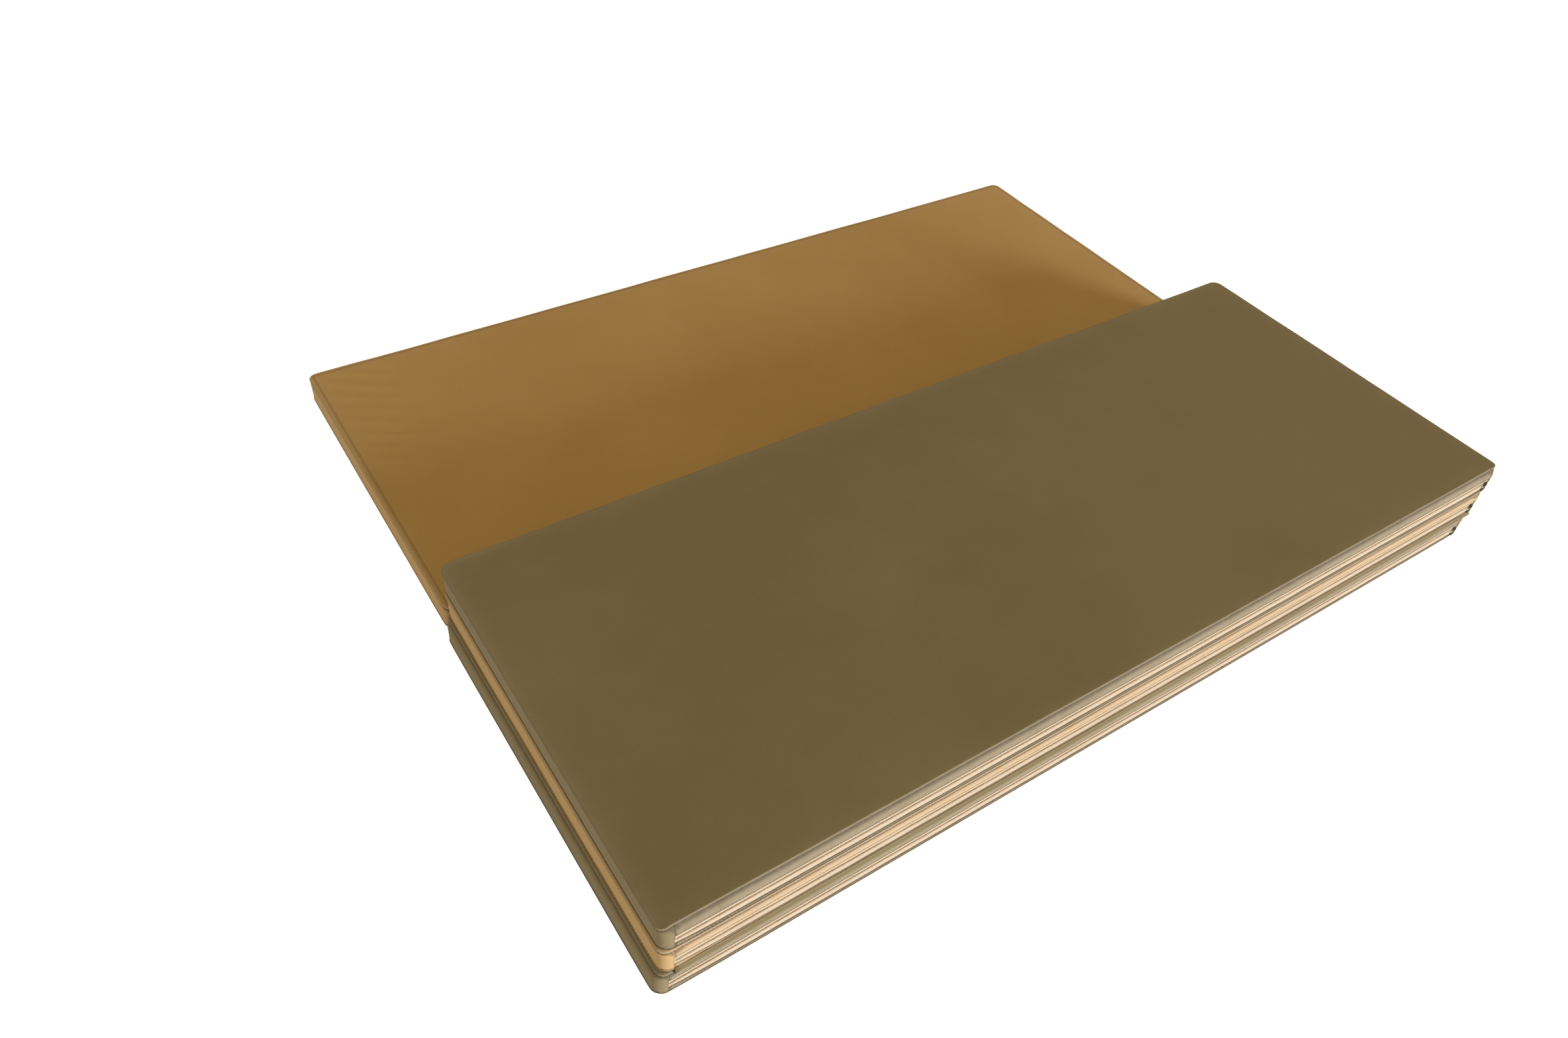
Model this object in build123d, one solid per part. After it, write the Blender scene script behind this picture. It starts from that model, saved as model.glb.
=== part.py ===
from build123d import *
import os

# A padded folding cover: four equal foam panels in zipped leatherette covers, joined side by side by
# three fabric hinges that fold opposite ways in turn. Panel 1 lies flat at the back. Panels 2, 3 and 4
# are folded onto each other in front of it, panel 2 on the floor and panel 4 on top.
#
# Millimetres. X runs along the panels, -Y is the front and +Z is up. The origin is on the floor, at the
# middle of the whole cover, half way between the back of the stack and the front of panel 1.

# ---- Driving dimensions --------------------------------------------------------------------------

panel_length = 1900.0
panel_width = 750.0
panel_thickness = 60.0

cover_ply = 1.2  # leatherette
film_ply = 0.3  # sealed moisture film round each core

fold_gap = 9.0  # between two neighbouring panels that lie open
stack_gap = 0.6  # between two panels folded onto each other
panel_2_slip = -8.0  # panel 2 has slipped this far to the left under panel 3

web_ply = 1.0  # fabric hinge
web_inset = 20.0  # from each end of the panels to the end of a hinge
web_clearance = 0.3  # from a folded hinge to the panel that swings away from it

end_return = 18.0  # how far an end piece wraps round onto the zip side
zip_height = 24.0  # middle of the zip above the underside of its panel
zip_show = 25.0  # tape seen between the two bands
tape_ply = 0.8
tape_sewn = 4.0  # tape hidden behind each band
tape_tuck = 10.0  # tape hidden behind each end return
chain_height = 5.0
chain_ply = 1.2
stop_length = 3.0
stop_height = 7.0
stop_ply = 2.0
stop_inset = 1.0  # from an end return to the stop beside it

slider_length = 12.0
slider_wall = 1.2
slider_flange = 1.8
slider_clearance = 0.3  # round the chain, and to a stop
slider_lift = 0.25  # from the tape
slider_corner = 2.0
stud_radius = 1.25
stud_head_radius = 2.2
stud_head_ply = 0.8

pull_ply = 1.0
pull_play = 0.2  # on each face of the pull
pull_hole_clearance = 0.08
pull_width = 6.8
pull_reach = 14.0  # from the stud to the centre of the pull's round tip
pull_slot_length = 7.0
pull_slot_width = 2.6

# ---- Places worked out from them, in a panel's own frame -----------------------------------------
# The panel's underside is at z = 0, its centre at x = y = 0, and its zip side faces -Y.

end_x = panel_length / 2
zip_face = -panel_width / 2
plain_face = panel_width / 2
tape_face = zip_face + cover_ply  # the tape lies behind the bands
band_x = end_x - end_return
band_bottom = zip_height + zip_show / 2
band_top = zip_height - zip_show / 2
stop_x = band_x - stop_inset
chain_x = stop_x - stop_length
park_x = chain_x - slider_clearance - slider_length / 2

plate_inside = tape_face - chain_ply - slider_clearance
plate_outside = plate_inside - slider_wall
flange_inside = chain_height / 2 + slider_clearance
slider_half_height = flange_inside + slider_flange
head_inside = plate_outside - pull_ply - 2 * pull_play


def slab(x0, x1, y0, y1, z0, z1):
    """A square-edged block between two corners."""
    return Pos((x0 + x1) / 2, (y0 + y1) / 2, (z0 + z1) / 2) * Box(x1 - x0, y1 - y0, z1 - z0)


def disc(radius, x, y0, y1, z):
    """A round post or hole along Y."""
    return Pos(x, (y0 + y1) / 2, z) * Rot(90, 0, 0) * Cylinder(radius, abs(y1 - y0))


# ---- Inside the cover ----------------------------------------------------------------------------


def core_space(inset):
    """The room inside the sewn cover, taken in by inset on every side."""
    return slab(
        -end_x + cover_ply + inset,
        end_x - cover_ply - inset,
        tape_face + tape_ply + inset,
        plain_face - cover_ply - inset,
        cover_ply + inset,
        panel_thickness - cover_ply - inset,
    )


def foam_core():
    return core_space(film_ply)


def moisture_film():
    return core_space(0) - core_space(film_ply)


# ---- Sewn cover ----------------------------------------------------------------------------------


def sheet(bottom):
    """The top or bottom piece of the cover, whose underside is at height bottom."""
    return slab(-end_x, end_x, zip_face, plain_face, bottom, bottom + cover_ply)


def end_piece(side):
    """The piece over one end, with its return round the corner onto the zip side."""
    low, high = cover_ply, panel_thickness - cover_ply
    wall_x = sorted((side * end_x, side * (end_x - cover_ply)))
    return_x = sorted((side * end_x, side * band_x))
    wall = slab(*wall_x, zip_face, plain_face, low, high)
    return wall + slab(*return_x, zip_face, tape_face, low, high)


def plain_side():
    """The strip along the side that has no zip, between the two end pieces."""
    inner_x = end_x - cover_ply
    return slab(
        -inner_x, inner_x, plain_face - cover_ply, plain_face, cover_ply, panel_thickness - cover_ply
    )


def upper_band():
    return slab(-band_x, band_x, zip_face, tape_face, band_bottom, panel_thickness - cover_ply)


def lower_band():
    return slab(-band_x, band_x, zip_face, tape_face, cover_ply, band_top)


# ---- Zip -----------------------------------------------------------------------------------------


def zip_tapes():
    """Two tapes whose edges meet along the middle of the zip, sewn behind the bands."""
    reach_x = band_x + tape_tuck
    half = zip_show / 2 + tape_sewn
    back = tape_face + tape_ply
    lower = slab(-reach_x, reach_x, tape_face, back, zip_height - half, zip_height)
    upper = slab(-reach_x, reach_x, tape_face, back, zip_height, zip_height + half)
    return Compound([lower.solid(), upper.solid()])


def zip_chain():
    """The two closed rows of teeth, one on the edge of each tape."""
    front = tape_face - chain_ply
    half = chain_height / 2
    lower = slab(-chain_x, chain_x, front, tape_face, zip_height - half, zip_height)
    upper = slab(-chain_x, chain_x, front, tape_face, zip_height, zip_height + half)
    return Compound([lower.solid(), upper.solid()])


def zip_stops():
    low, high = zip_height - stop_height / 2, zip_height + stop_height / 2
    front = tape_face - stop_ply
    left = slab(-stop_x, -chain_x, front, tape_face, low, high)
    right = slab(chain_x, stop_x, front, tape_face, low, high)
    return Compound([left.solid(), right.solid()])


def zip_slider(x):
    """A plate over the chain with a flange down each side of it, and a headed stud for the pull."""
    reach = slider_length / 2
    plate = slab(
        x - reach,
        x + reach,
        plate_outside,
        plate_inside,
        zip_height - slider_half_height,
        zip_height + slider_half_height,
    )
    plate = fillet(plate.edges().filter_by(Axis.Y), slider_corner)
    body = plate
    for side in (-1, 1):
        flange_z = sorted(
            (zip_height + side * flange_inside, zip_height + side * slider_half_height)
        )
        straight = reach - slider_corner
        body += slab(x - straight, x + straight, plate_outside, tape_face - slider_lift, *flange_z)
    body += disc(stud_radius, x, head_inside, plate_outside, zip_height)
    body += disc(stud_head_radius, x, head_inside - stud_head_ply, head_inside, zip_height)
    return body


def zip_pull(x):
    """A flat tab with round ends that hangs from the slider's stud and swings on it."""
    front, back = plate_outside - pull_play - pull_ply, plate_outside - pull_play
    middle_z = zip_height - pull_reach / 2
    upright = Pos(x, back, middle_z) * Rot(90, 0, 0) * Rot(0, 0, 90)
    tab = upright * extrude(SlotCenterToCenter(pull_reach, pull_width), pull_ply)
    hole = disc(stud_radius + pull_hole_clearance, x, front, back, zip_height)
    grip = extrude(SlotOverall(pull_slot_length, pull_slot_width), pull_ply)
    slot = Pos(0, 0, -pull_reach / 4) * upright * grip
    return tab - hole - slot


# ---- Fabric hinges -------------------------------------------------------------------------------

web_x = end_x - web_inset
fold_radius = fold_gap / 2


def folded_web(face, way, height):
    """A hinge folded double between two stacked panels: half a tube against their side faces, with
    its lower edge sewn to the lower panel and its upper edge just clear of the panel above."""
    tube = Pos(0, face, height) * Rot(0, 90, 0) * Cylinder(fold_radius, 2 * web_x)
    tube -= Pos(0, face, height) * Rot(0, 90, 0) * Cylinder(fold_radius - web_ply, 2 * web_x)
    outside = (face, face + way * 2 * fold_radius)
    lower = slab(-web_x, web_x, *sorted(outside), height - 2 * fold_radius, height)
    clear = (face + way * web_clearance, outside[1])
    upper = slab(-web_x, web_x, *sorted(clear), height, height + 2 * fold_radius)
    return tube & (lower + upper)


def open_web(middle_y):
    """A hinge that lies flat on the floor in the gap between two open panels."""
    return slab(-web_x, web_x, middle_y - fold_radius, middle_y + fold_radius, 0, web_ply)


# ---- The four panels, and the parts written out --------------------------------------------------

stack_y = -(fold_gap + panel_width) / 2
layer = panel_thickness + stack_gap

# name, centre, and whether the panel is turned so that its zip side faces the back
panels = [
    ("panel_1", (0, -stack_y, 0), True),
    ("panel_2", (panel_2_slip, stack_y, 0), False),
    ("panel_3", (0, stack_y, layer), False),
    ("panel_4", (0, stack_y, 2 * layer), False),
]


def panel_parts(turned):
    """Every part of one panel in its own frame. The slider ends up at the right in either case."""
    right = -1 if turned else 1
    return {
        "foam_core": foam_core(),
        "moisture_film": moisture_film(),
        "top_sheet": sheet(panel_thickness - cover_ply),
        "bottom_sheet": sheet(0),
        "left_end": end_piece(-right),
        "right_end": end_piece(right),
        "plain_side": plain_side(),
        "upper_band": upper_band(),
        "lower_band": lower_band(),
        "zip_tapes": zip_tapes(),
        "zip_chain": zip_chain(),
        "zip_stops": zip_stops(),
        "zip_slider": zip_slider(right * park_x),
        "zip_pull": zip_pull(right * park_x),
    }


os.makedirs("parts", exist_ok=True)

for name, centre, turned in panels:
    place = Pos(*centre) * Rot(0, 0, 180 if turned else 0)
    for part_name, shape in panel_parts(turned).items():
        export_step(place * shape, f"parts/{name}_{part_name}.step")

front_of_stack = stack_y + zip_face
back_of_stack = stack_y + plain_face
hinges = {
    "hinge_web_1_2": open_web(0),
    "hinge_web_2_3": folded_web(front_of_stack, -1, layer - stack_gap / 2),
    "hinge_web_3_4": folded_web(back_of_stack, 1, 2 * layer - stack_gap / 2),
}
for name, shape in hinges.items():
    export_step(shape, f"parts/{name}.step")
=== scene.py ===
"""Looks of the folding padded cover: sewn leatherette panels, their zips and their fabric hinges.

Every piece is modelled in its panel's own frame, like the construction: underside at z = 0, centre at
x = y = 0, zip side facing -Y. Panel.place then puts it where the frame has the panel. Metres throughout.
"""

import math

import bmesh
import bpy
from mathutils import Euler, Matrix, Vector, noise


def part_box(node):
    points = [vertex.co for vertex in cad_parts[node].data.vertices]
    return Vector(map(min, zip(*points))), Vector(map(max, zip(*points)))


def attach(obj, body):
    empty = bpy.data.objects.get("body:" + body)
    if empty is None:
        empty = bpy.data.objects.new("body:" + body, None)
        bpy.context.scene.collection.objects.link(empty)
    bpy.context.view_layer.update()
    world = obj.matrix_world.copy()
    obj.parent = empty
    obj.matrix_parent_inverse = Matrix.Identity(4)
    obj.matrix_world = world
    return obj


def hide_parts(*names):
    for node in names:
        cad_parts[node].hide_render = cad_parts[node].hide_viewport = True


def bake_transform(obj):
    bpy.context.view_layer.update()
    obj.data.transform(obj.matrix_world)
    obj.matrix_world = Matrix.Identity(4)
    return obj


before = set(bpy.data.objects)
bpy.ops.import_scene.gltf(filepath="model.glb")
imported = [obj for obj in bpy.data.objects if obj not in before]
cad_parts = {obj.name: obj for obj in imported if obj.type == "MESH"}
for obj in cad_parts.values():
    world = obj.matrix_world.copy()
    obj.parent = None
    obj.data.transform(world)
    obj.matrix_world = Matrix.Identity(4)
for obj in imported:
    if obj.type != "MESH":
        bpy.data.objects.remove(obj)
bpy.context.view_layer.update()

MM = 0.001

# ---- Sizes of the sewing, beyond those that the frame gives ---------------------------------------

PLY = 1.2 * MM  # leatherette
GRID = 15 * MM  # spacing of a panel's mesh before it is subdivided
CORNER_STEPS = 5
SWELL = 2.5 * MM  # how far the filling lifts the middle of a free top
CROWN_REACH = 70 * MM  # a top falls away over this distance from its edges
WINDOW_LIFT = 9 * MM  # the zip's opening narrows this much from below where it meets the left corner
WINDOW_REACH = 45 * MM
CORNER_LIFT = 4 * MM  # the underside's corners curl up
CORNER_REACH = 30 * MM
BOTTOM_DROP = 2.2 * MM  # how far the bottom seam sits above the underside
PRESSED = 0.3 * MM  # how far a pressed top sinks
LOWER_GAPE = 4 * MM  # how far the lower band's edge is pulled back from the zip
UPPER_GAPE = 0.7 * MM
SHADE_HEIGHT = 9 * MM  # the rim of a side this near its panel's top lies under the lip
FILL_FRAMES = 20  # of the simulation that fills a free top

STITCH_PITCH = 6 * MM
STITCH_LENGTH = 4.4 * MM
THREAD = 0.42 * MM  # radius
TOOTH_PITCH = 2 * MM

# How each panel lies: how far its top seam sits below its top along the long sides and at the ends, how
# far the top edge rolls outwards, and whether the top is free to swell or pressed by what lies on it.
LIE = {
    1: dict(side_drop=4 * MM, end_drop=3.5 * MM, roll=-2 * MM, crown=1 * MM, free=True),
    2: dict(side_drop=2 * MM, end_drop=2 * MM, roll=0.4 * MM, crown=0.3 * MM, free=False),
    3: dict(side_drop=2 * MM, end_drop=2 * MM, roll=0.4 * MM, crown=0.3 * MM, free=False),
    4: dict(side_drop=3.5 * MM, end_drop=3 * MM, roll=0.5 * MM, crown=1 * MM, free=True),
}
FRONT_LEAN = {1: 0, 2: -1 * MM, 3: -2 * MM, 4: -8 * MM}  # of the top of the zip side, out from the bottom
LEFT_LEAN = {1: 0, 2: -6 * MM, 3: 1 * MM, 4: 2 * MM}  # of the top of the left end
TOP_LINE = 9 * MM  # from the flat panel's edge to the row of stitches on its top
TAN_PANELS = (1, 3)

AMBIENT = 0.3  # strength of the light from all round
FREE_RAYS = ("Is Camera Ray", "Is Glossy Ray", "Is Transmission Ray")  # those that see plain white

PIECES = (
    "top_sheet", "bottom_sheet", "left_end", "right_end", "plain_side", "upper_band", "lower_band", "window"
)
TOP, BOTTOM, LEFT, RIGHT, PLAIN, UPPER, LOWER, WINDOW = range(8)


# ---- Small helpers ---------------------------------------------------------------------------------


def spread(start, stop, count):
    """count + 1 evenly spaced values from start to stop."""
    return [start + (stop - start) * i / count for i in range(count + 1)]


def clamp(value, low, high):
    return max(low, min(high, value))


def smooth(value):
    """0 below 0, 1 above 1, and a smooth step between."""
    t = clamp(value, 0, 1)
    return t * t * (3 - 2 * t)


def sign(value):
    return -1 if value < 0 else 1


def wander(x, y, z, scale, seed):
    """A smooth random value from -1 to 1 that changes over about 1 / scale metres."""
    return noise.noise(Vector((x * scale, y * scale, z * scale + 17.3 * seed)))


def new_object(name, bm, material, place=None):
    """Writes a bmesh into a new smooth-shaded object, with its place in its mesh."""
    if place is not None:
        bm.transform(place)
    mesh = bpy.data.meshes.new(name)
    bm.to_mesh(mesh)
    bm.free()
    mesh.shade_smooth()
    mesh.materials.append(material)
    obj = bpy.data.objects.new(name, mesh)
    bpy.context.scene.collection.objects.link(obj)
    return obj


def evaluated_copy(obj):
    """The object's mesh with its modifiers applied."""
    graph = bpy.context.evaluated_depsgraph_get()
    return bpy.data.meshes.new_from_object(obj.evaluated_get(graph))


def paint(mesh, name, values):
    """Stores one number for each vertex, for the materials to read."""
    attribute = mesh.attributes.new(name, "FLOAT", "POINT")
    attribute.data.foreach_set("value", values)


# ---- Shader maths ----------------------------------------------------------------------------------


class Wire:
    """A socket of a material, on which +, - and * add Math nodes."""

    def __init__(self, net, socket):
        self.net, self.socket = net, socket

    def math(self, operation, a, b):
        return self.net.node("ShaderNodeMath", {"operation": operation}, {0: a, 1: b})

    def __add__(self, other):
        return self.math("ADD", self, other)

    def __radd__(self, other):
        return self.math("ADD", other, self)

    def __sub__(self, other):
        return self.math("SUBTRACT", self, other)

    def __rsub__(self, other):
        return self.math("SUBTRACT", other, self)

    def __mul__(self, other):
        return self.math("MULTIPLY", self, other)

    def __rmul__(self, other):
        return self.math("MULTIPLY", other, self)


class Net:
    """The nodes of one new material or world."""

    def __init__(self, name, family="materials"):
        self.owner = getattr(bpy.data, family).new(name)
        self.owner.use_nodes = True
        self.tree = self.owner.node_tree
        self.tree.nodes.clear()

    def node(self, kind, settings=None, inputs=None, output=0):
        """Adds a node: its settings first, then the values or wires of its sockets."""
        made = self.tree.nodes.new(kind)
        for key, value in (settings or {}).items():
            setattr(made, key, value)
        for key, value in (inputs or {}).items():
            if isinstance(value, Wire):
                self.tree.links.new(value.socket, made.inputs[key])
            else:
                made.inputs[key].default_value = value
        return Wire(self, made.outputs[output]) if made.outputs else None

    def place(self):
        """Object coordinates: metres in the frame, because every piece's object is at the origin."""
        return self.node("ShaderNodeTexCoord", output="Object")

    def stretched(self, scale, turn=(0, 0, 0)):
        inputs = {"Vector": self.place(), "Rotation": turn, "Scale": scale}
        return self.node("ShaderNodeMapping", {}, inputs)

    def noise(self, scale, detail=3, where=None, roughness=0.5):
        inputs = {"Vector": where or self.place(), "Scale": scale, "Detail": detail, "Roughness": roughness}
        return self.node("ShaderNodeTexNoise", {}, inputs)

    def cells(self, scale, feature="F1", where=None):
        inputs = {"Vector": where or self.place(), "Scale": scale}
        return self.node("ShaderNodeTexVoronoi", {"feature": feature}, inputs, "Distance")

    def attribute(self, name):
        return self.node("ShaderNodeAttribute", {"attribute_name": name}, output="Fac")

    def step(self, value, low, high):
        """0 where value is below low, 1 above high."""
        inputs = {"Value": value, "From Min": low, "From Max": high}
        return self.node("ShaderNodeMapRange", {"interpolation_type": "SMOOTHSTEP"}, inputs)

    def mix(self, factor, first, second):
        """One colour turning into another."""
        settings = {"data_type": "RGBA"}
        return self.node("ShaderNodeMix", settings, {0: factor, 6: first, 7: second}, 2)

    def bump(self, height, strength, distance):
        inputs = {"Height": height, "Strength": strength, "Distance": distance}
        return self.node("ShaderNodeBump", {}, inputs)

    def surface(self, **sockets):
        """The principled surface and the output. Names have _ for a space."""
        inputs = {name.replace("_", " "): value for name, value in sockets.items()}
        shader = self.node("ShaderNodeBsdfPrincipled", {}, inputs)
        self.node("ShaderNodeOutputMaterial", {}, {"Surface": shader})
        return self.owner


def srgb(red, green, blue):
    """A colour written as it looks, 0 to 255, as the shader's linear values."""

    def linear(value):
        value /= 255
        return value / 12.92 if value <= 0.04045 else ((value + 0.055) / 1.055) ** 2.4

    return (linear(red), linear(green), linear(blue), 1)


# ---- Materials -------------------------------------------------------------------------------------


def leatherette(name, body, shade, pale, dark):
    """Matte grained leatherette: pebbled, a little cloudy, with painted highlight where the attribute pale
    says and painted shade where the attribute dark says.
    """
    net = Net(name)
    cloud = net.step(net.noise(2.2, 4, roughness=0.6), 0.3, 0.7)
    mottle = net.noise(38, 5, roughness=0.65)
    pebble = net.cells(620)
    fine = net.noise(2600, 2)
    askew = net.stretched((1, 1.7, 1.3), (0.3, 0.2, 0.5))
    creases = net.step(net.cells(90, "DISTANCE_TO_EDGE", askew), 0, 0.05)
    # painted highlight: paler on the lips, the rolled edges of a top and the sides, broken up by the mottle
    painted_highlight_mask = net.attribute("pale") * net.step(mottle, 0.05, 0.6)
    # painted shade under the lips and along the sides' rims; on panel 1's top it also holds a dark row of
    # stitches
    painted_shade_and_stitch_mask = net.attribute("dark") * (0.55 + 0.45 * net.noise(140, 3))
    colour = net.mix(cloud, shade, body)
    colour = net.mix(0.05 * net.step(mottle, 0.35, 0.7), colour, pale)
    colour = net.mix(0.1 * pebble, colour, dark)
    # the painted highlight, then the painted shade and stitch row
    colour = net.mix(0.85 * painted_highlight_mask, colour, pale)
    colour = net.mix(0.8 * painted_shade_and_stitch_mask, colour, dark)
    height = pebble * -0.7 + fine * 0.35 + creases * 0.25
    grain = net.bump(height, 0.35, 0.35 * MM)
    roughness = 0.78 + 0.1 * mottle - 0.08 * painted_highlight_mask
    return net.surface(Base_Color=colour, Roughness=roughness, Normal=grain, Specular_IOR_Level=0.25)


def woven_tape(name, body, shade):
    """Zip tape: a fine twill with ribs along its length."""
    net = Net(name)
    twill = net.node(
        "ShaderNodeTexWave",
        {"wave_type": "BANDS", "bands_direction": "DIAGONAL"},
        {"Vector": net.place(), "Scale": 520, "Distortion": 0.6, "Detail": 1},
    )
    ribs = net.node(
        "ShaderNodeTexWave",
        {"wave_type": "BANDS", "bands_direction": "Z"},
        {"Vector": net.place(), "Scale": 210, "Distortion": 0.2},
    )
    cloud = net.noise(16, 4)
    soiled = net.step(net.noise(5.5, 5, net.stretched((1, 1, 9))), 0.5, 0.78)
    colour = net.mix(0.25 * twill + 0.2 * ribs, body, shade)
    colour = net.mix(0.5 * soiled + 0.2 * cloud, colour, shade)
    # painted shade beside the bands' edges, where the attribute dark says
    colour = net.mix(0.7 * net.attribute("dark"), colour, srgb(120, 96, 66))
    height = twill * 0.6 + ribs * 0.8
    return net.surface(
        Base_Color=colour, Roughness=0.8 + 0.1 * cloud, Normal=net.bump(height, 0.5, 0.25 * MM)
    )


def spun_thread(name, body, shade):
    """Sewing thread: plies that wind round it."""
    net = Net(name)
    plies = net.node(
        "ShaderNodeTexWave",
        {"wave_type": "BANDS", "bands_direction": "DIAGONAL"},
        {"Vector": net.place(), "Scale": 900, "Distortion": 0.4},
    )
    colour = net.mix(0.6 * plies + 0.3 * net.noise(60, 2), body, shade)
    ridges = net.bump(plies, 0.5, 0.12 * MM)
    return net.surface(Base_Color=colour, Roughness=0.7 - 0.1 * plies, Normal=ridges)


def coil_plastic(name):
    """The zip's moulded teeth."""
    net = Net(name)
    cloud = net.noise(240, 3)
    colour = net.mix(cloud, srgb(222, 204, 174), srgb(196, 174, 140))
    worn = net.bump(cloud, 0.2, 0.05 * MM)
    return net.surface(Base_Color=colour, Roughness=0.38 + 0.2 * cloud, Normal=worn)


def painted_metal(name):
    """Dark lacquered die-cast metal, worn through to a duller brass in spots."""
    net = Net(name)
    worn = net.step(net.noise(700, 5, roughness=0.7), 0.56, 0.66)
    cloud = net.noise(180, 3)
    colour = net.mix(cloud, srgb(74, 60, 40), srgb(52, 42, 29))
    colour = net.mix(0.6 * worn, colour, srgb(146, 120, 78))
    return net.surface(
        Base_Color=colour,
        Metallic=0.35 + 0.5 * worn,
        Roughness=0.42 + 0.2 * cloud - 0.1 * worn,
        Normal=net.bump(cloud, 0.25, 0.08 * MM),
    )


def open_foam(name):
    """Off-white foam with open cells."""
    net = Net(name)
    cells = net.cells(420)
    cloud = net.noise(9, 4)
    colour = net.mix(0.5 * cells + 0.3 * cloud, srgb(240, 237, 226), srgb(214, 207, 186))
    pores = net.bump(cells, 0.8, 1 * MM)
    return net.surface(Base_Color=colour, Roughness=0.9 - 0.1 * cloud, Normal=pores)


def clear_film(name):
    """The moisture film: glossy, creased plastic."""
    net = Net(name)
    folds = net.noise(26, 6, roughness=0.7)
    colour = net.mix(folds, srgb(232, 236, 238), srgb(204, 212, 216))
    creased = net.bump(folds, 0.6, 2 * MM)
    return net.surface(Base_Color=colour, Roughness=0.16 + 0.15 * folds, Normal=creased)


# each leatherette: body and shade tones, then the colour of the painted highlight (also of the mottle) and
# of the painted shade (also of the grain and panel 1's stitch row)
OLIVE = leatherette(
    "leatherette_olive", srgb(143, 131, 99), srgb(136, 123, 91), srgb(161, 151, 135), srgb(54, 44, 27)
)
TAN = leatherette(
    "leatherette_tan", srgb(212, 177, 121), srgb(204, 168, 111), srgb(200, 185, 167), srgb(84, 62, 34)
)
TAPE = woven_tape("zip_tape", srgb(214, 203, 189), srgb(197, 183, 163))
COIL = coil_plastic("zip_coil")
STOP = coil_plastic("zip_stop")
METAL = painted_metal("zip_metal")
DARK_THREAD = spun_thread("thread_brown", srgb(66, 52, 30), srgb(42, 33, 19))
OLIVE_THREAD = spun_thread("thread_olive", srgb(126, 110, 76), srgb(88, 75, 48))
TAN_THREAD = spun_thread("thread_tan", srgb(176, 142, 92), srgb(134, 104, 62))
FOAM = open_foam("foam")
FILM = clear_film("moisture_film")


# ---- A panel's form --------------------------------------------------------------------------------


class Panel:
    """One padded panel: where it is, its sizes, and how it lies."""

    def __init__(self, number):
        self.number = number
        self.name = f"panel_{number}"
        self.tan = number in TAN_PANELS
        self.slot = "leatherette_tan" if self.tan else "leatherette_olive"
        self.leather = TAN if self.tan else OLIVE
        self.thread = TAN_THREAD if self.tan else OLIVE_THREAD
        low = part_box(f"{self.name}_bottom_sheet")[0]
        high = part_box(f"{self.name}_top_sheet")[1]
        middle = (low + high) / 2
        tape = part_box(f"{self.name}_zip_tapes")
        self.turned = (tape[0].y + tape[1].y) / 2 > middle.y
        self.place = Matrix.Translation((middle.x, middle.y, low.z))
        self.place @= Matrix.Rotation(math.pi if self.turned else 0, 4, "Z")
        self.half_x, self.half_y = (high.x - low.x) / 2, (high.y - low.y) / 2
        self.thick = high.z - low.z
        self.band_x = self.own_box("upper_band")[1].x
        self.corner = self.half_x - self.band_x
        self.window_low = self.own_box("lower_band")[1].z - LOWER_GAPE
        self.window_high = self.own_box("upper_band")[0].z - UPPER_GAPE
        self.zip_z = (tape[0].z + tape[1].z) / 2 - low.z
        self.tape_face = self.own_box("zip_tapes")[0].y
        self.left = 1 if self.turned else -1  # the side of x that is the cover's left
        for key, value in LIE[number].items():
            setattr(self, key, value)
        self.front_lean, self.left_lean = FRONT_LEAN[number], LEFT_LEAN[number]

    def own_box(self, part):
        """A part's lowest and highest corners in the panel's own frame."""
        back = self.place.inverted()
        a, b = (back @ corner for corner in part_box(f"{self.name}_{part}"))
        return Vector(map(min, a, b)), Vector(map(max, a, b))

    def outward(self, point):
        """The level direction that faces out of the panel at a point of its outline."""
        inner_x, inner_y = self.half_x - self.corner, self.half_y - self.corner
        away = Vector((
            point.x - clamp(point.x, -inner_x, inner_x), point.y - clamp(point.y, -inner_y, inner_y), 0
        ))
        return away.normalized()

    def depth(self, point):
        """How far a point of the top lies inside the outline."""
        return min(self.half_x - abs(point.x), self.half_y - abs(point.y))

    def along(self, point):
        """0 at the corners, 1 along the middle of the long sides, which it reaches sooner from the left."""
        reach = 0.22 if point.x * self.left > 0 else 0.4
        return smooth((self.half_x - abs(point.x) - self.corner) / reach)


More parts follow.
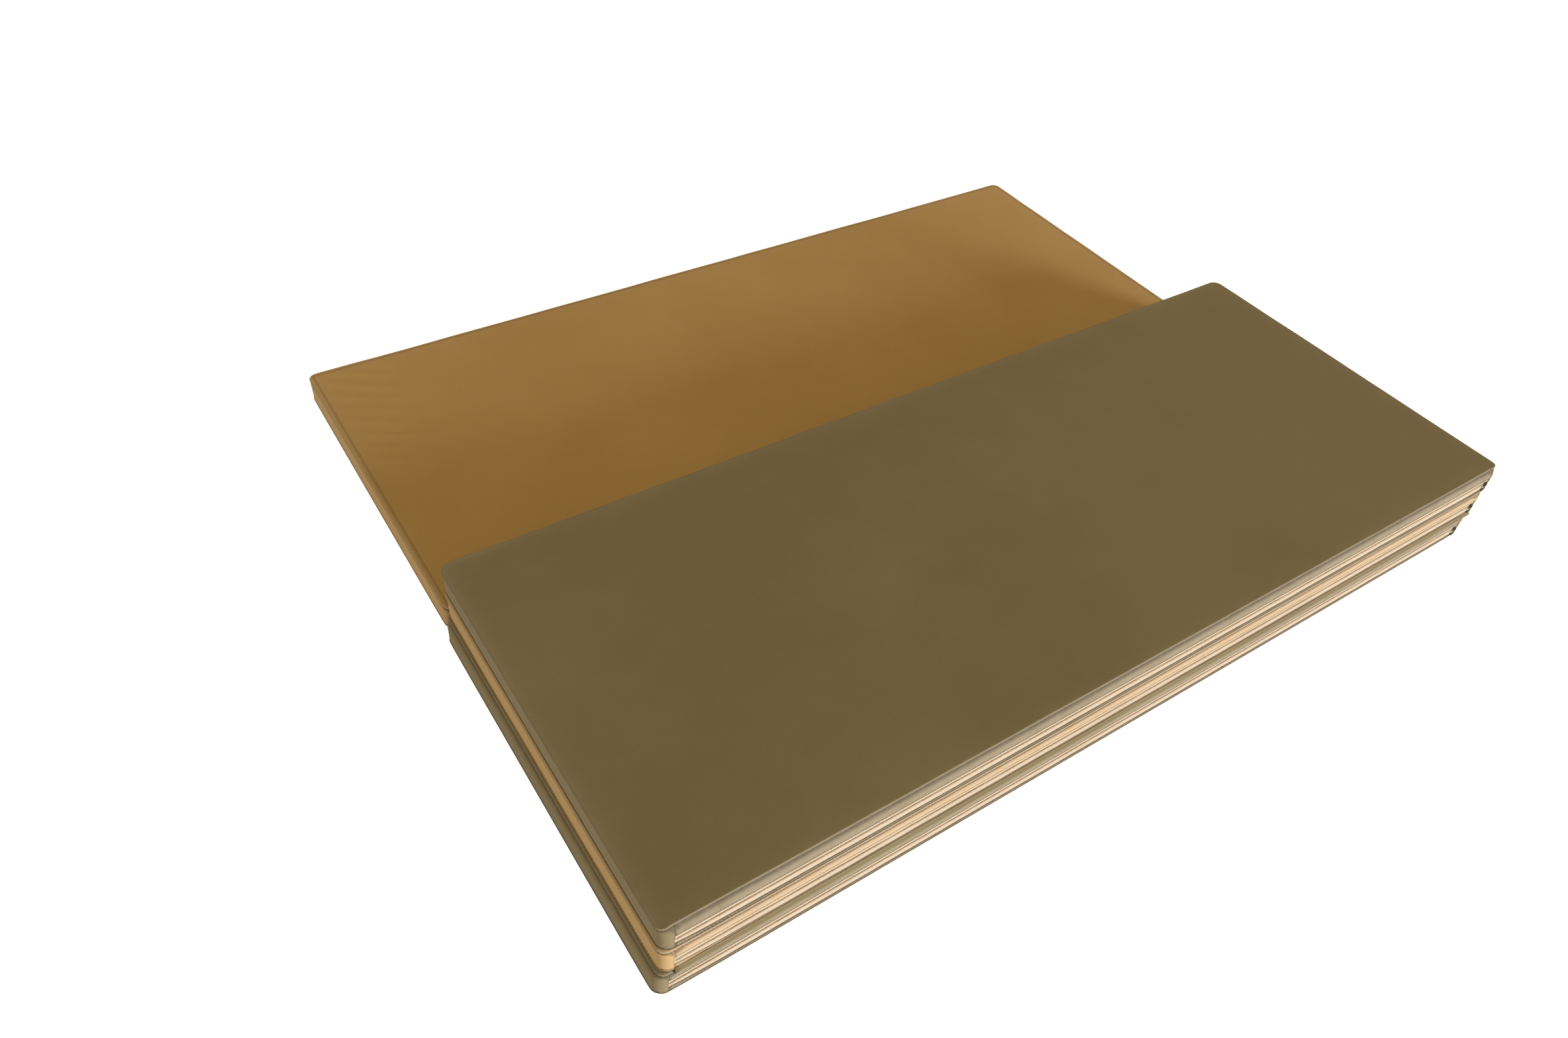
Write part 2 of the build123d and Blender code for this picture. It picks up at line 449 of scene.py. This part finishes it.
def shaped(panel, box):
    """Where a point of the plain box goes on the sewn, filled panel."""
    corner = panel.corner
    inner = Vector((
        clamp(box.x, corner - panel.half_x, panel.half_x - corner),
        clamp(box.y, corner - panel.half_y, panel.half_y - corner),
        0,
    ))
    across, along = abs(box.x - inner.x) / corner, abs(box.y - inner.y) / corner
    reach = max(across, along)
    if reach:
        turn = math.pi / 4 * min(across, along) / reach
        turn = turn if across > along else math.pi / 2 - turn
        facing = Vector((sign(box.x) * math.cos(turn), sign(box.y) * math.sin(turn), 0))
    else:
        facing = Vector((0, 0, 0))
    stretch = panel.along(box) * abs(facing.y)
    drop = panel.end_drop + (panel.side_drop - panel.end_drop) * stretch
    roll = panel.roll * (0.35 + 0.65 * stretch)
    lean = panel.front_lean * max(0, -facing.y) ** 2
    lean += panel.left_lean * max(0, facing.x * panel.left) ** 2
    near_corner = Vector((panel.half_x - abs(box.x), panel.half_y - abs(box.y))).length
    lift = CORNER_LIFT * math.exp(-near_corner / CORNER_REACH) + BOTTOM_DROP
    uneven = wander(box.x, box.y, box.z, 9, panel.number)
    top_z = panel.thick - (SWELL if panel.free else PRESSED)
    seam_z = panel.thick - drop + 0.5 * MM * uneven
    if box.z > panel.thick - 1e-6:
        angle = math.pi / 2 * (1 - reach)
        out = (corner + roll + lean + 0.5 * MM * uneven) * math.cos(angle)
        fall = (top_z - seam_z) * (1 - math.sin(angle))
        crown = panel.crown * math.exp(-panel.depth(box) / CROWN_REACH) * math.sin(angle)
        return inner + facing * out + Vector((0, 0, top_z - fall - crown))
    if box.z < 1e-6:
        angle = math.pi / 2 * (1 - reach)
        return inner + facing * corner * math.cos(angle) + Vector((0, 0, lift * (1 - math.sin(angle))))
    climb = WINDOW_LIFT * math.exp(-max(0, panel.half_x - panel.left * box.x - corner) / WINDOW_REACH)
    if box.z > panel.window_high:
        share = (box.z - panel.window_high) / (panel.thick - panel.window_high)
        base = panel.window_high
        height = base + (seam_z - base) * share
        rolled = roll * (1 - math.sqrt(1 - share * share))
        leaned = lean * smooth((share - 0.15) / 0.85)
        out = corner + rolled + leaned + 0.4 * MM * uneven * share
    elif box.z < panel.window_low:
        share = 1 - box.z / panel.window_low
        base = panel.window_low + climb
        height = base + (lift - base) * share
        out = corner + 0.4 * MM * uneven * share
    else:
        share = (box.z - panel.window_low) / (panel.window_high - panel.window_low)
        height, out = box.z + climb * (1 - share), corner
    return inner + facing * out + Vector((0, 0, height))


def region(panel, centre):
    """Which sewn piece a face of the plain box belongs to."""
    edge = 1e-5
    if centre.z > panel.thick - edge:
        return TOP
    if centre.z < edge:
        return BOTTOM
    end = LEFT if centre.x * panel.left > 0 else RIGHT
    if abs(centre.x) > panel.half_x - edge:
        return end
    if centre.y > 0:
        return PLAIN
    if abs(centre.x) > panel.band_x:
        return end
    if centre.z > panel.window_high:
        return UPPER
    return LOWER if centre.z < panel.window_low else WINDOW


def loaf(panel):
    """The panel's whole outside as one closed mesh, whose material indexes are the sewn pieces."""

    def levels(half):
        inner = half - panel.corner
        corner = spread(-half, -inner, CORNER_STEPS)
        middle = spread(-inner, inner, round(2 * inner / GRID))
        return corner[:-1] + middle + [-value for value in reversed(corner[:-1])]

    heights = spread(0, panel.window_low, 3)[:-1] + spread(panel.window_low, panel.window_high, 3)[:-1]
    heights += spread(panel.window_high, panel.thick, 5)
    bm = bmesh.new()
    bmesh.ops.create_cube(bm, size=1)
    for axis, values in enumerate((levels(panel.half_x), levels(panel.half_y), heights)):
        uncut = [e for e in bm.edges if abs((e.verts[0].co - e.verts[1].co)[axis]) > 0.5]
        bmesh.ops.subdivide_edges(bm, edges=uncut, cuts=len(values) - 2, use_grid_fill=True)
        for vert in bm.verts:
            vert.co[axis] = values[round((vert.co[axis] + 0.5) * (len(values) - 1))]
    for face in bm.faces:
        face.material_index = region(panel, face.calc_center_median())
    for vert in bm.verts:
        vert.co = shaped(panel, vert.co.copy())
    bmesh.ops.recalc_face_normals(bm, faces=bm.faces)
    return bm


# ---- Filling it ------------------------------------------------------------------------------------


def inflate(obj):
    """Lets the filling push a free top out between its seams, as a cloth under pressure."""
    mesh = obj.data
    seams = {v for face in mesh.polygons if face.material_index != TOP for v in face.vertices}
    pins = obj.vertex_groups.new(name="seams")
    pins.add(sorted(seams), 1, "REPLACE")
    cloth = obj.modifiers.new("filling", "CLOTH")
    settings = cloth.settings
    settings.quality = 4
    settings.mass = 0.4
    settings.tension_stiffness = settings.compression_stiffness = 30
    settings.shear_stiffness = 10
    settings.bending_stiffness = 2
    settings.vertex_group_mass = "seams"
    settings.use_pressure = True
    settings.uniform_pressure_force = 4
    settings.effector_weights.gravity = 0
    cloth.collision_settings.use_collision = False
    scene = bpy.context.scene
    for step in range(1, FILL_FRAMES + 1):
        scene.frame_set(step)
    filled = evaluated_copy(obj)
    moves = [after.co - before.co for after, before in zip(filled.vertices, mesh.vertices)]
    most = max(move.z for move in moves)
    for vert, move in zip(mesh.vertices, moves):
        vert.co += move * (SWELL / most)
    obj.modifiers.remove(cloth)
    bpy.data.meshes.remove(filled)
    scene.frame_set(1)


def puff(panel, obj):
    """The quick stand-in for inflate."""
    for vert in obj.data.vertices:
        if vert.co.z > panel.thick - 4 * MM:
            vert.co.z += SWELL * (1 - math.exp(-max(0, panel.depth(vert.co)) / 0.16)) * 0.98


def wrinkle(panel, point):
    """How much a point of the flat panel's top rises or sinks where the leatherette is pulled askew."""
    from_left = panel.half_x - panel.left * point.x
    from_rear = panel.half_y + point.y if panel.turned else panel.half_y - point.y
    fade = smooth(from_left / 0.04) * (1 - smooth((from_left - 0.06) / 0.16))
    fade *= smooth(from_rear / 0.03) * (1 - smooth((from_rear - 0.3) / 0.2))
    wave = from_left * 0.5 - from_rear * 0.87 + 0.012 * wander(point.x, point.y, 0, 11, 5)
    patch = 0.55 + 0.45 * wander(point.x, point.y, 0, 16, 6)
    ridge = math.sin(wave / 0.040 * 2 * math.pi) * fade * patch
    dent = math.exp(-(((from_left - 0.28) / 0.02) ** 2) - ((from_rear - 0.09) / 0.05) ** 2)
    return 1.3 * MM * ridge - 1.1 * MM * dent


def undulate(panel, mesh):
    """Fine unevenness, added after the mesh is smooth enough to hold it."""
    for vert in mesh.vertices:
        p = vert.co
        if p.z > panel.thick * 0.8 and panel.depth(p) > 0:
            inside = smooth((panel.depth(p) - 6 * MM) / (30 * MM))
            rise = 0.35 * MM * wander(p.x, p.y, 0, 3.1, panel.number)
            rise += 0.16 * MM * wander(p.x, p.y, 0, 14, panel.number)
            if panel.number == 1:
                rise += wrinkle(panel, p)
            p.z = min(p.z + rise * inside, panel.thick + 0.8 * MM)


# ---- The sewn pieces -------------------------------------------------------------------------------


def cut_out(mesh, index):
    """A bmesh of the faces of one sewn piece."""
    bm = bmesh.new()
    bm.from_mesh(mesh)
    bmesh.ops.delete(bm, geom=[f for f in bm.faces if f.material_index != index], context="FACES")
    return bm


def rim(bm):
    """The open edges of a piece."""
    return [e for e in bm.edges if e.is_boundary]


def path_of(edges):
    """The points of a chain or ring of edges, in order."""
    beside = {}
    for edge in edges:
        for vert in edge.verts:
            beside.setdefault(vert, []).append(edge)
    ends = [v for v, es in beside.items() if len(es) == 1]
    first = min(ends or beside, key=lambda v: (round(v.co.x, 5), round(v.co.y, 5), v.co.z))
    vert, edge, points = first, beside[first][0], [first.co.copy()]
    while edge is not None:
        vert = edge.other_vert(vert)
        points.append(vert.co.copy())
        if vert is first:
            break
        edge = next((e for e in beside[vert] if e is not edge), None)
    return points


def roll_hem(panel, bm, steps):
    """Turns the rim of a piece over in steps of (outwards, down), and returns the rings it made."""
    edges, rings = rim(bm), []
    for out, down in steps:
        made = bmesh.ops.extrude_edge_only(bm, edges=edges)["geom"]
        edges = [g for g in made if isinstance(g, bmesh.types.BMEdge)]
        ring = [g for g in made if isinstance(g, bmesh.types.BMVert)]
        for vert in ring:
            vert.co += panel.outward(vert.co) * out - Vector((0, 0, down))
        rings.append(ring)
    return rings


def sewn(panel, bm, part, pale, dark):
    """A finished piece of the cover, with its thickness, its leatherette with painted highlight and painted
    shade, and the CAD nodes it stands for.
    """
    pale_values = [pale(v) for v in bm.verts]
    dark_values = [dark(v) for v in bm.verts]
    obj = new_object(f"{panel.name}_{part}_leather", bm, panel.leather, panel.place)
    paint(obj.data, "pale", pale_values)
    paint(obj.data, "dark", dark_values)
    thickness = obj.modifiers.new("ply", "SOLIDIFY")
    thickness.thickness = PLY * 0.8
    thickness.offset = -1
    thickness.use_even_offset = True
    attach(obj, panel.name)
    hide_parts(f"{panel.name}_{part}")
    return obj


# steps out and down in which a rim is turned over
TOP_LIP = ((0.8 * MM, 0.2 * MM), (0.5 * MM, 0.7 * MM), (-0.3 * MM, 0.8 * MM), (-0.9 * MM, 0.2 * MM))
BOTTOM_LIP = ((0.7 * MM, -0.2 * MM), (0.3 * MM, -0.9 * MM), (-0.3 * MM, -0.8 * MM), (-0.9 * MM, -0.2 * MM))


def sheet(panel, mesh, index):
    """The top or bottom piece, whose rim is turned over the bands in a small lip."""
    bm = cut_out(mesh, index)
    edge_verts = {v for e in rim(bm) for v in e.verts}
    rings = roll_hem(panel, bm, TOP_LIP if index == TOP else BOTTOM_LIP)
    # painted highlight on the turned-over lip, half as much at the seam itself
    lip = {v: 0.5 for v in edge_verts}
    lip.update({v: 1 for v in rings[0] + rings[1]})
    # painted shade on the underside of the lip
    under = {v: 1 for v in rings[2] + rings[3]}
    near = 14 * MM  # a top is painted paler this near its edge, as a highlight where it rolls over
    line = 1.6 * MM  # width of the dark row

    # painted highlight on the lip, and on a top near its edge
    def pale(vert):
        if vert in lip:
            return lip[vert]
        return 0.4 * math.exp(-max(0, panel.depth(vert.co)) / near) if index == TOP else 0

    # painted shade under the lip; on panel 1's top, a dark row for the stitches TOP_LINE in from the edge
    def dark(vert):
        if index == TOP and panel.number == 1 and vert not in lip:
            away = (panel.depth(vert.co) - TOP_LINE) / line
            return under.get(vert, 0.8 * math.exp(-(away ** 2)))
        return under.get(vert, 0)

    return sewn(panel, bm, PIECES[index], pale, dark)


def band(panel, mesh, index):
    """A side piece. Its rim is in the shade of the seams, most of all under the top's lip."""
    bm = cut_out(mesh, index)
    ring = {v for e in rim(bm) for v in e.verts}
    top = {v for v in ring if v.co.z > panel.thick - SHADE_HEIGHT}
    # painted shade on the rim, deepest in the rows under the top's lip
    shade = {v: 0.6 for v in ring}
    for depth in (1, 1, 1, 1, 0.6, 0.15):
        for vert in top:
            shade[vert] = max(depth, shade.get(vert, 0))
        top = {e.other_vert(v) for v in top for e in v.link_edges} - set(shade)
    # painted highlight: the zip-side bands much paler, the ends and the plain side a little
    painted_highlight_level = 0.85 if index in (UPPER, LOWER) else 0.3
    return sewn(panel, bm, PIECES[index], lambda v: painted_highlight_level, lambda v: shade.get(v, 0))


# ---- Stitching -------------------------------------------------------------------------------------


def walk(points, pitch):
    """Places along a path at an even pitch: (point, direction)."""
    travelled, next_stop = 0, pitch / 2
    for start, stop in zip(points, points[1:]):
        length = (stop - start).length
        while length and travelled + length >= next_stop:
            share = (next_stop - travelled) / length
            yield start.lerp(stop, share), (stop - start) / length
            next_stop += pitch
        travelled += length


def repeated(pattern, places):
    """One bmesh with the pattern put at each place, gathered in batches to keep it quick."""
    one = bpy.data.meshes.new("pattern")
    pattern.to_mesh(one)
    pattern.free()
    whole = bmesh.new()
    for start in range(0, len(places), 60):
        batch = bmesh.new()
        for place in places[start : start + 60]:
            batch.from_mesh(one)
            batch.verts.ensure_lookup_table()
            for vert in batch.verts[-len(one.vertices) :]:
                vert.co = place @ vert.co
        gathered = bpy.data.meshes.new("batch")
        batch.to_mesh(gathered)
        batch.free()
        whole.from_mesh(gathered)
        bpy.data.meshes.remove(gathered)
    bpy.data.meshes.remove(one)
    return whole


def stitches(name, panel, paths, thread, pitch=STITCH_PITCH, length=STITCH_LENGTH, radius=THREAD):
    """A row of stitches along each path: short spindles of thread, sunk at both ends."""
    spindle = bmesh.new()
    bmesh.ops.create_cone(
        spindle, cap_ends=True, segments=6, radius1=radius, radius2=radius, depth=length
    )
    places = []
    for points in paths:
        for place, direction in walk(points, pitch):
            turn = direction.to_track_quat("Z", "Y").to_matrix().to_4x4()
            sunk = Matrix.Translation(place - 0.5 * radius * panel.outward(place))
            places.append(sunk @ turn)
    bm = repeated(spindle, places)
    obj = new_object(name, bm, thread, panel.place)
    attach(obj, panel.name)
    return obj


def seam_path(panel, mesh, index, neighbours, out, down):
    """The line where one sewn piece meets others, moved out from the panel and down."""
    bm = bmesh.new()
    bm.from_mesh(mesh)

    def meets(edge):
        kinds = {face.material_index for face in edge.link_faces}
        return index in kinds and kinds & neighbours

    points = path_of([e for e in bm.edges if meets(e)])
    bm.free()
    return [p + panel.outward(p) * out - Vector((0, 0, down)) for p in points]


def topstitch(panel, mesh):
    """The rows of stitches under both lips, and beside the zip's opening."""
    others = {LEFT, RIGHT, PLAIN, UPPER, LOWER}
    top = seam_path(panel, mesh, TOP, others, 0.75 * MM, 3.5 * MM)
    bottom = seam_path(panel, mesh, BOTTOM, others, 0.3 * MM, -3.6 * MM)
    stitches(f"{panel.name}_seam_thread", panel, (top, bottom), DARK_THREAD)
    above = seam_path(panel, mesh, UPPER, {WINDOW}, 0.2 * MM, -2.6 * MM)
    below = seam_path(panel, mesh, LOWER, {WINDOW}, 0.2 * MM, 2.6 * MM)
    stitches(f"{panel.name}_band_thread", panel, (above, below), panel.thread)


# ---- Zips ------------------------------------------------------------------------------------------


def block(bm, low, high, bevel=0, segments=2):
    """A box between two corners with its edges rounded, added to a bmesh."""
    size, middle = high - low, (low + high) / 2
    place = Matrix.Translation(middle) @ Matrix.Diagonal((*size, 1))
    made = bmesh.ops.create_cube(bm, size=1, matrix=place)
    if bevel:
        edges = {e for v in made["verts"] for e in v.link_edges}
        bmesh.ops.bevel(
            bm, geom=list(edges), offset=bevel, segments=segments, profile=0.5, affect="EDGES", material=-1
        )


def tapes(panel):
    """The two zip tapes, a little wavy behind the bands and shaded beside them."""
    box = panel.own_box("zip_tapes")
    depth = box[1].y - box[0].y
    lap, tuck, soft_edge = 4 * MM, 3.5 * MM, 2.2 * MM
    upright = Matrix.Rotation(math.pi / 2, 4, "X")
    for part, side, window in (("lower", -1, panel.window_low), ("upper", 1, panel.window_high)):
        bm = bmesh.new()
        width = abs(window - panel.zip_z) + lap
        middle = Matrix.Translation((0, box[0].y, panel.zip_z + side * width / 2))
        grow = Matrix.Diagonal((panel.band_x + tuck, width / 2, 1, 1))
        bmesh.ops.create_grid(bm, x_segments=300, y_segments=6, size=1, matrix=middle @ upright @ grow)
        for vert in bm.verts:
            vert.co.y += 0.25 * MM * (0.6 + wander(vert.co.x, 0, vert.co.z, 21, panel.number))
        bmesh.ops.recalc_face_normals(bm, faces=bm.faces)
        if sum(f.normal.y for f in bm.faces) > 0:
            bmesh.ops.reverse_faces(bm, faces=bm.faces)
        # painted shadow of the bands' edges on the tape, darkest at the rim of the opening
        shade = [0.8 * math.exp(-max(0, side * (window - v.co.z)) / soft_edge) for v in bm.verts]
        obj = new_object(f"{panel.name}_{part}_tape", bm, TAPE, panel.place)
        paint(obj.data, "dark", shade)
        thickness = obj.modifiers.new("ply", "SOLIDIFY")
        thickness.thickness, thickness.offset = depth, -1
        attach(obj, panel.name)
    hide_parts(f"{panel.name}_zip_tapes")


def teeth(panel):
    """The coil: two rows of small teeth that meet along the middle, half a pitch apart."""
    box = panel.own_box("zip_chain")
    reach = (box[1].z - box[0].z) / 2
    overlap = 0.35 * MM
    size = Vector((1.24 * MM, box[1].y - box[0].y, reach + overlap))
    tooth = bmesh.new()
    bmesh.ops.create_cube(tooth, size=1, matrix=Matrix.Diagonal((*size, 1)))
    for vert in tooth.verts:
        if vert.co.y < 0:
            vert.co.x *= 0.55
            vert.co.z *= 0.8
    count = round((box[1].x - box[0].x) / TOOTH_PITCH) - 1
    places = []
    for row, side in ((0, -1), (1, 1)):
        z = panel.zip_z + side * (reach - overlap) / 2
        for i in range(count):
            x = box[0].x + TOOTH_PITCH * (i + 0.5 + 0.5 * row)
            places.append(Matrix.Translation((x, (box[0].y + box[1].y) / 2, z)))
    bm = repeated(tooth, places)
    obj = new_object(f"{panel.name}_zip_teeth", bm, COIL, panel.place)
    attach(obj, panel.name)
    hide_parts(f"{panel.name}_zip_chain")
    seam = []
    for side in (-1, 1):
        z = panel.zip_z + side * (reach + 0.5 * MM)
        seam.append([Vector((x, panel.tape_face - 0.1 * MM, z)) for x in (box[0].x, box[1].x)])
    stitches(f"{panel.name}_coil_thread", panel, seam, TAN_THREAD, 4 * MM, 3.2 * MM, 0.3 * MM)


def stops(panel):
    """The moulded stop at each end of the teeth."""
    low, high = panel.own_box("zip_stops")
    chain = panel.own_box("zip_chain")[1].x
    bm = bmesh.new()
    for side in (-1, 1):
        xs = sorted((side * chain, side * high.x))
        block(bm, Vector((xs[0], low.y, low.z)), Vector((xs[1], high.y, high.z)), 0.7 * MM, 3)
    obj = new_object(f"{panel.name}_zip_end_stops", bm, STOP, panel.place)
    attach(obj, panel.name)
    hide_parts(f"{panel.name}_zip_stops")


def softened(node, body, width, name):
    """A copy of a CAD piece with its sharp edges broken."""
    bm = bmesh.new()
    bm.from_mesh(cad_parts[node].data)
    bmesh.ops.remove_doubles(bm, verts=bm.verts, dist=1e-6)
    bmesh.ops.dissolve_limit(bm, angle_limit=math.radians(1), verts=bm.verts, edges=bm.edges)
    sharp = [e for e in bm.edges if len(e.link_faces) == 2 and e.calc_face_angle() > math.radians(40)]
    bmesh.ops.bevel(bm, geom=sharp, offset=width, segments=2, profile=0.5, affect="EDGES", material=-1)
    obj = new_object(name, bm, METAL)
    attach(obj, body)
    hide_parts(node)
    return obj


def zip_parts(panel):
    tapes(panel)
    teeth(panel)
    stops(panel)
    name, number = panel.name, panel.number
    softened(f"{name}_zip_slider", f"slider_{number}", 0.25 * MM, f"{name}_zip_slider_body")
    softened(f"{name}_zip_pull", f"pull_{number}", 0.2 * MM, f"{name}_zip_pull_tab")


# ---- Inside ----------------------------------------------------------------------------------------


def core(panel):
    """The foam block and the film sealed round it, with the rounded edges that the cover gives them."""
    rounding = 15 * MM
    insides = (("moisture_film", "moisture_film", 3, FILM), ("foam_core", "foam", 3.6, FOAM))
    for part, slot, inset, material in insides:
        low = Vector((-panel.half_x, -panel.half_y, 0)) + Vector((inset, inset, inset)) * MM
        high = Vector((panel.half_x, panel.half_y, panel.thick)) - Vector((inset, inset, inset + 2)) * MM
        bm = bmesh.new()
        block(bm, low, high, rounding, 4)
        obj = new_object(f"{panel.name}_{part}_block", bm, material, panel.place)
        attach(obj, panel.name)
        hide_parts(f"{panel.name}_{part}")


# ---- Fabric hinges ---------------------------------------------------------------------------------


def web(name, parent, child, profile):
    """A fabric hinge: a strip along the panels whose section is a smooth line by the points (y, z) of
    profile."""
    low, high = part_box(name)
    curve = bpy.data.curves.new(name, "CURVE")
    spline = curve.splines.new("NURBS")
    spline.points.add(len(profile) - 1)
    for point, (y, z) in zip(spline.points, profile):
        point.co = (low.x, y, z, 1)
    spline.order_u = 3
    spline.use_endpoint_u = True
    spline.resolution_u = 4
    curve.dimensions = "3D"
    line = bpy.data.objects.new(name + "_line", curve)
    bpy.context.scene.collection.objects.link(line)
    section = evaluated_copy(line)
    bm = bmesh.new()
    bm.from_mesh(section)
    steps = 150
    edges = list(bm.edges)
    for _ in range(steps):
        made = bmesh.ops.extrude_edge_only(bm, edges=edges)["geom"]
        edges = [g for g in made if isinstance(g, bmesh.types.BMEdge)]
        for vert in (g for g in made if isinstance(g, bmesh.types.BMVert)):
            vert.co.x += (high.x - low.x) / steps
    bpy.data.objects.remove(line)
    for vert in bm.verts:
        vert.co.y += 0.3 * MM * wander(vert.co.x, 0, vert.co.z, 12, 9)
    bmesh.ops.recalc_face_normals(bm, faces=bm.faces)
    obj = new_object(f"{name}_fabric", bm, OLIVE)
    # a little paler and darker evenly all over, through the leatherette's painted highlight and painted
    # shade mixes
    paint(obj.data, "pale", [0.1] * len(obj.data.vertices))
    paint(obj.data, "dark", [0.15] * len(obj.data.vertices))
    solid = obj.modifiers.new("ply", "SOLIDIFY")
    solid.thickness, solid.offset = 0.9 * MM, 0
    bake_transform(obj)
    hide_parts(name)


def webs():
    """Two hinges folded double between stacked panels, and one that lies open on the floor."""
    lap = 4 * MM
    folded = (("hinge_web_2_3", "panel_2", "panel_3", -1), ("hinge_web_3_4", "panel_3", "panel_4", 1))
    for name, parent, child, away in folded:
        low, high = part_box(name)
        face = low.y if away > 0 else high.y
        z = (low.z + high.z) / 2
        tall = (high.z - low.z) / 2
        profile = [
            (face + away * 0.9 * MM, z - tall - lap),
            (face + away * 1.2 * MM, z - tall),
            (face + away * 3.4 * MM, z - tall * 0.55),
            (face + away * 4.2 * MM, z),
            (face + away * 3.4 * MM, z + tall * 0.55),
            (face + away * 1.2 * MM, z + tall),
            (face + away * 0.9 * MM, z + tall + lap),
        ]
        web(name, parent, child, profile)
    low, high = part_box("hinge_web_1_2")
    profile = [
        (low.y - 1 * MM, 6 * MM),
        (low.y + 0.4 * MM, 3 * MM),
        (low.y + 2 * MM, 0.6 * MM),
        (0, 0.5 * MM),
        (high.y - 2 * MM, 0.6 * MM),
        (high.y - 0.4 * MM, 3 * MM),
        (high.y + 1 * MM, 6 * MM),
    ]
    web("hinge_web_1_2", "panel_2", "panel_1", profile)


# ---- Putting the cover together --------------------------------------------------------------------


def cover(panel):
    """A panel's sewn cover, cut out of one filled form, with its stitches."""
    obj = new_object(f"{panel.name}_loaf", loaf(panel), panel.leather)
    for _ in PIECES[1:]:
        obj.data.materials.append(panel.leather)
    if panel.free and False:
        puff(panel, obj)
    elif panel.free:
        inflate(obj)
    finer = obj.modifiers.new("finer", "SUBSURF")
    finer.levels = finer.render_levels = 1
    mesh = evaluated_copy(obj)
    bpy.data.objects.remove(obj)
    undulate(panel, mesh)
    for index in (TOP, BOTTOM):
        made = sheet(panel, mesh, index)
    for index in (LEFT, RIGHT, PLAIN, UPPER, LOWER):
        band(panel, mesh, index)
    topstitch(panel, mesh)
    bpy.data.meshes.remove(mesh)


# ---- Floor, light and camera -----------------------------------------------------------------------


def floor():
    """A pale floor that shows white to the camera and in reflections, but keeps the cover's shadow."""
    net = Net("studio_floor")
    speck = net.noise(30, 4)
    colour = net.mix(speck, srgb(238, 237, 235), srgb(244, 243, 241))
    paper = net.node("ShaderNodeBsdfDiffuse", {}, {"Color": colour})
    rays = [net.node("ShaderNodeLightPath", output=kind) for kind in FREE_RAYS]
    glow = net.node("ShaderNodeEmission", {}, {"Strength": (rays[0] + rays[1] + rays[2]) * 0.95})
    both = net.node("ShaderNodeAddShader", {}, {0: paper, 1: glow})
    net.node("ShaderNodeOutputMaterial", {}, {"Surface": both})
    bm = bmesh.new()
    bmesh.ops.create_grid(bm, x_segments=8, y_segments=8, size=14)
    bm.transform(Matrix.Translation((0, 0, -0.6 * MM)))
    new_object("studio_floor", bm, net.owner)


def backdrop():
    """Even, slightly warm light from all round, which the camera and reflections see as white."""
    net = Net("studio", "worlds")
    rays = [net.node("ShaderNodeLightPath", output=kind) for kind in FREE_RAYS]
    shown = net.node("ShaderNodeMath", {"operation": "MINIMUM"}, {0: rays[0] + rays[1] + rays[2], 1: 1.0})
    light = net.node("ShaderNodeBackground", {}, {"Color": (1, 0.76, 0.32, 1), "Strength": AMBIENT})
    white = net.node("ShaderNodeBackground", {}, {"Color": (1, 1, 1, 1), "Strength": 1})
    mixed = net.node("ShaderNodeMixShader", {}, {0: shown, 1: light, 2: white})
    net.node("ShaderNodeOutputWorld", {}, {"Surface": mixed})
    bpy.context.scene.world = net.owner


def lamp(name, kind, turn, strength, colour, **settings):
    """A lamp that shines along the way that turn, (height above the horizon, bearing) in degrees, gives."""
    data = bpy.data.lights.new(name, kind)
    data.energy, data.color = strength, colour
    for key, value in settings.items():
        setattr(data, key, value)
    obj = bpy.data.objects.new(name, data)
    height, bearing = turn
    obj.rotation_euler = Euler((math.radians(90 - height), 0, math.radians(bearing)))
    bpy.context.scene.collection.objects.link(obj)
    return obj


def lights():
    """A low soft light on the fronts, a weaker one on the left ends, and a little from above."""
    lamp("key", "SUN", (8, 24), 3.6, (1, 0.98, 0.96), angle=math.radians(20))
    lamp("side", "SUN", (6, -90), 0.75, (1, 0.93, 0.8), angle=math.radians(30))
    lamp("overhead", "SUN", (75, 160), 0.2, (1, 0.8, 0.5), angle=math.radians(60))


def camera():
    """A standing person's view over the left end of the stack."""
    data = bpy.data.cameras.new("camera")
    data.lens, data.sensor_width = 27.09, 36
    obj = bpy.data.objects.new("camera", data)
    low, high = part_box("panel_4_top_sheet")
    eye = Vector((low.x, low.y, high.z)) + Vector((-0.3554, -0.6234, 1.4369))
    down, bearing, tilt = math.radians(43.78), math.radians(-37.59), math.radians(6.10)
    turn = Euler((math.pi / 2 - down, 0, bearing)).to_matrix()
    turn @= Matrix.Rotation(tilt, 3, "Z")
    obj.matrix_world = Matrix.Translation(eye) @ turn.to_4x4()
    bpy.context.scene.collection.objects.link(obj)
    bpy.context.scene.camera = obj


for number in (1, 2, 3, 4):
    panel = Panel(number)
    cover(panel)
    zip_parts(panel)
    core(panel)
webs()
floor()
backdrop()
lights()
camera()
bpy.context.scene.view_settings.view_transform = "Standard"
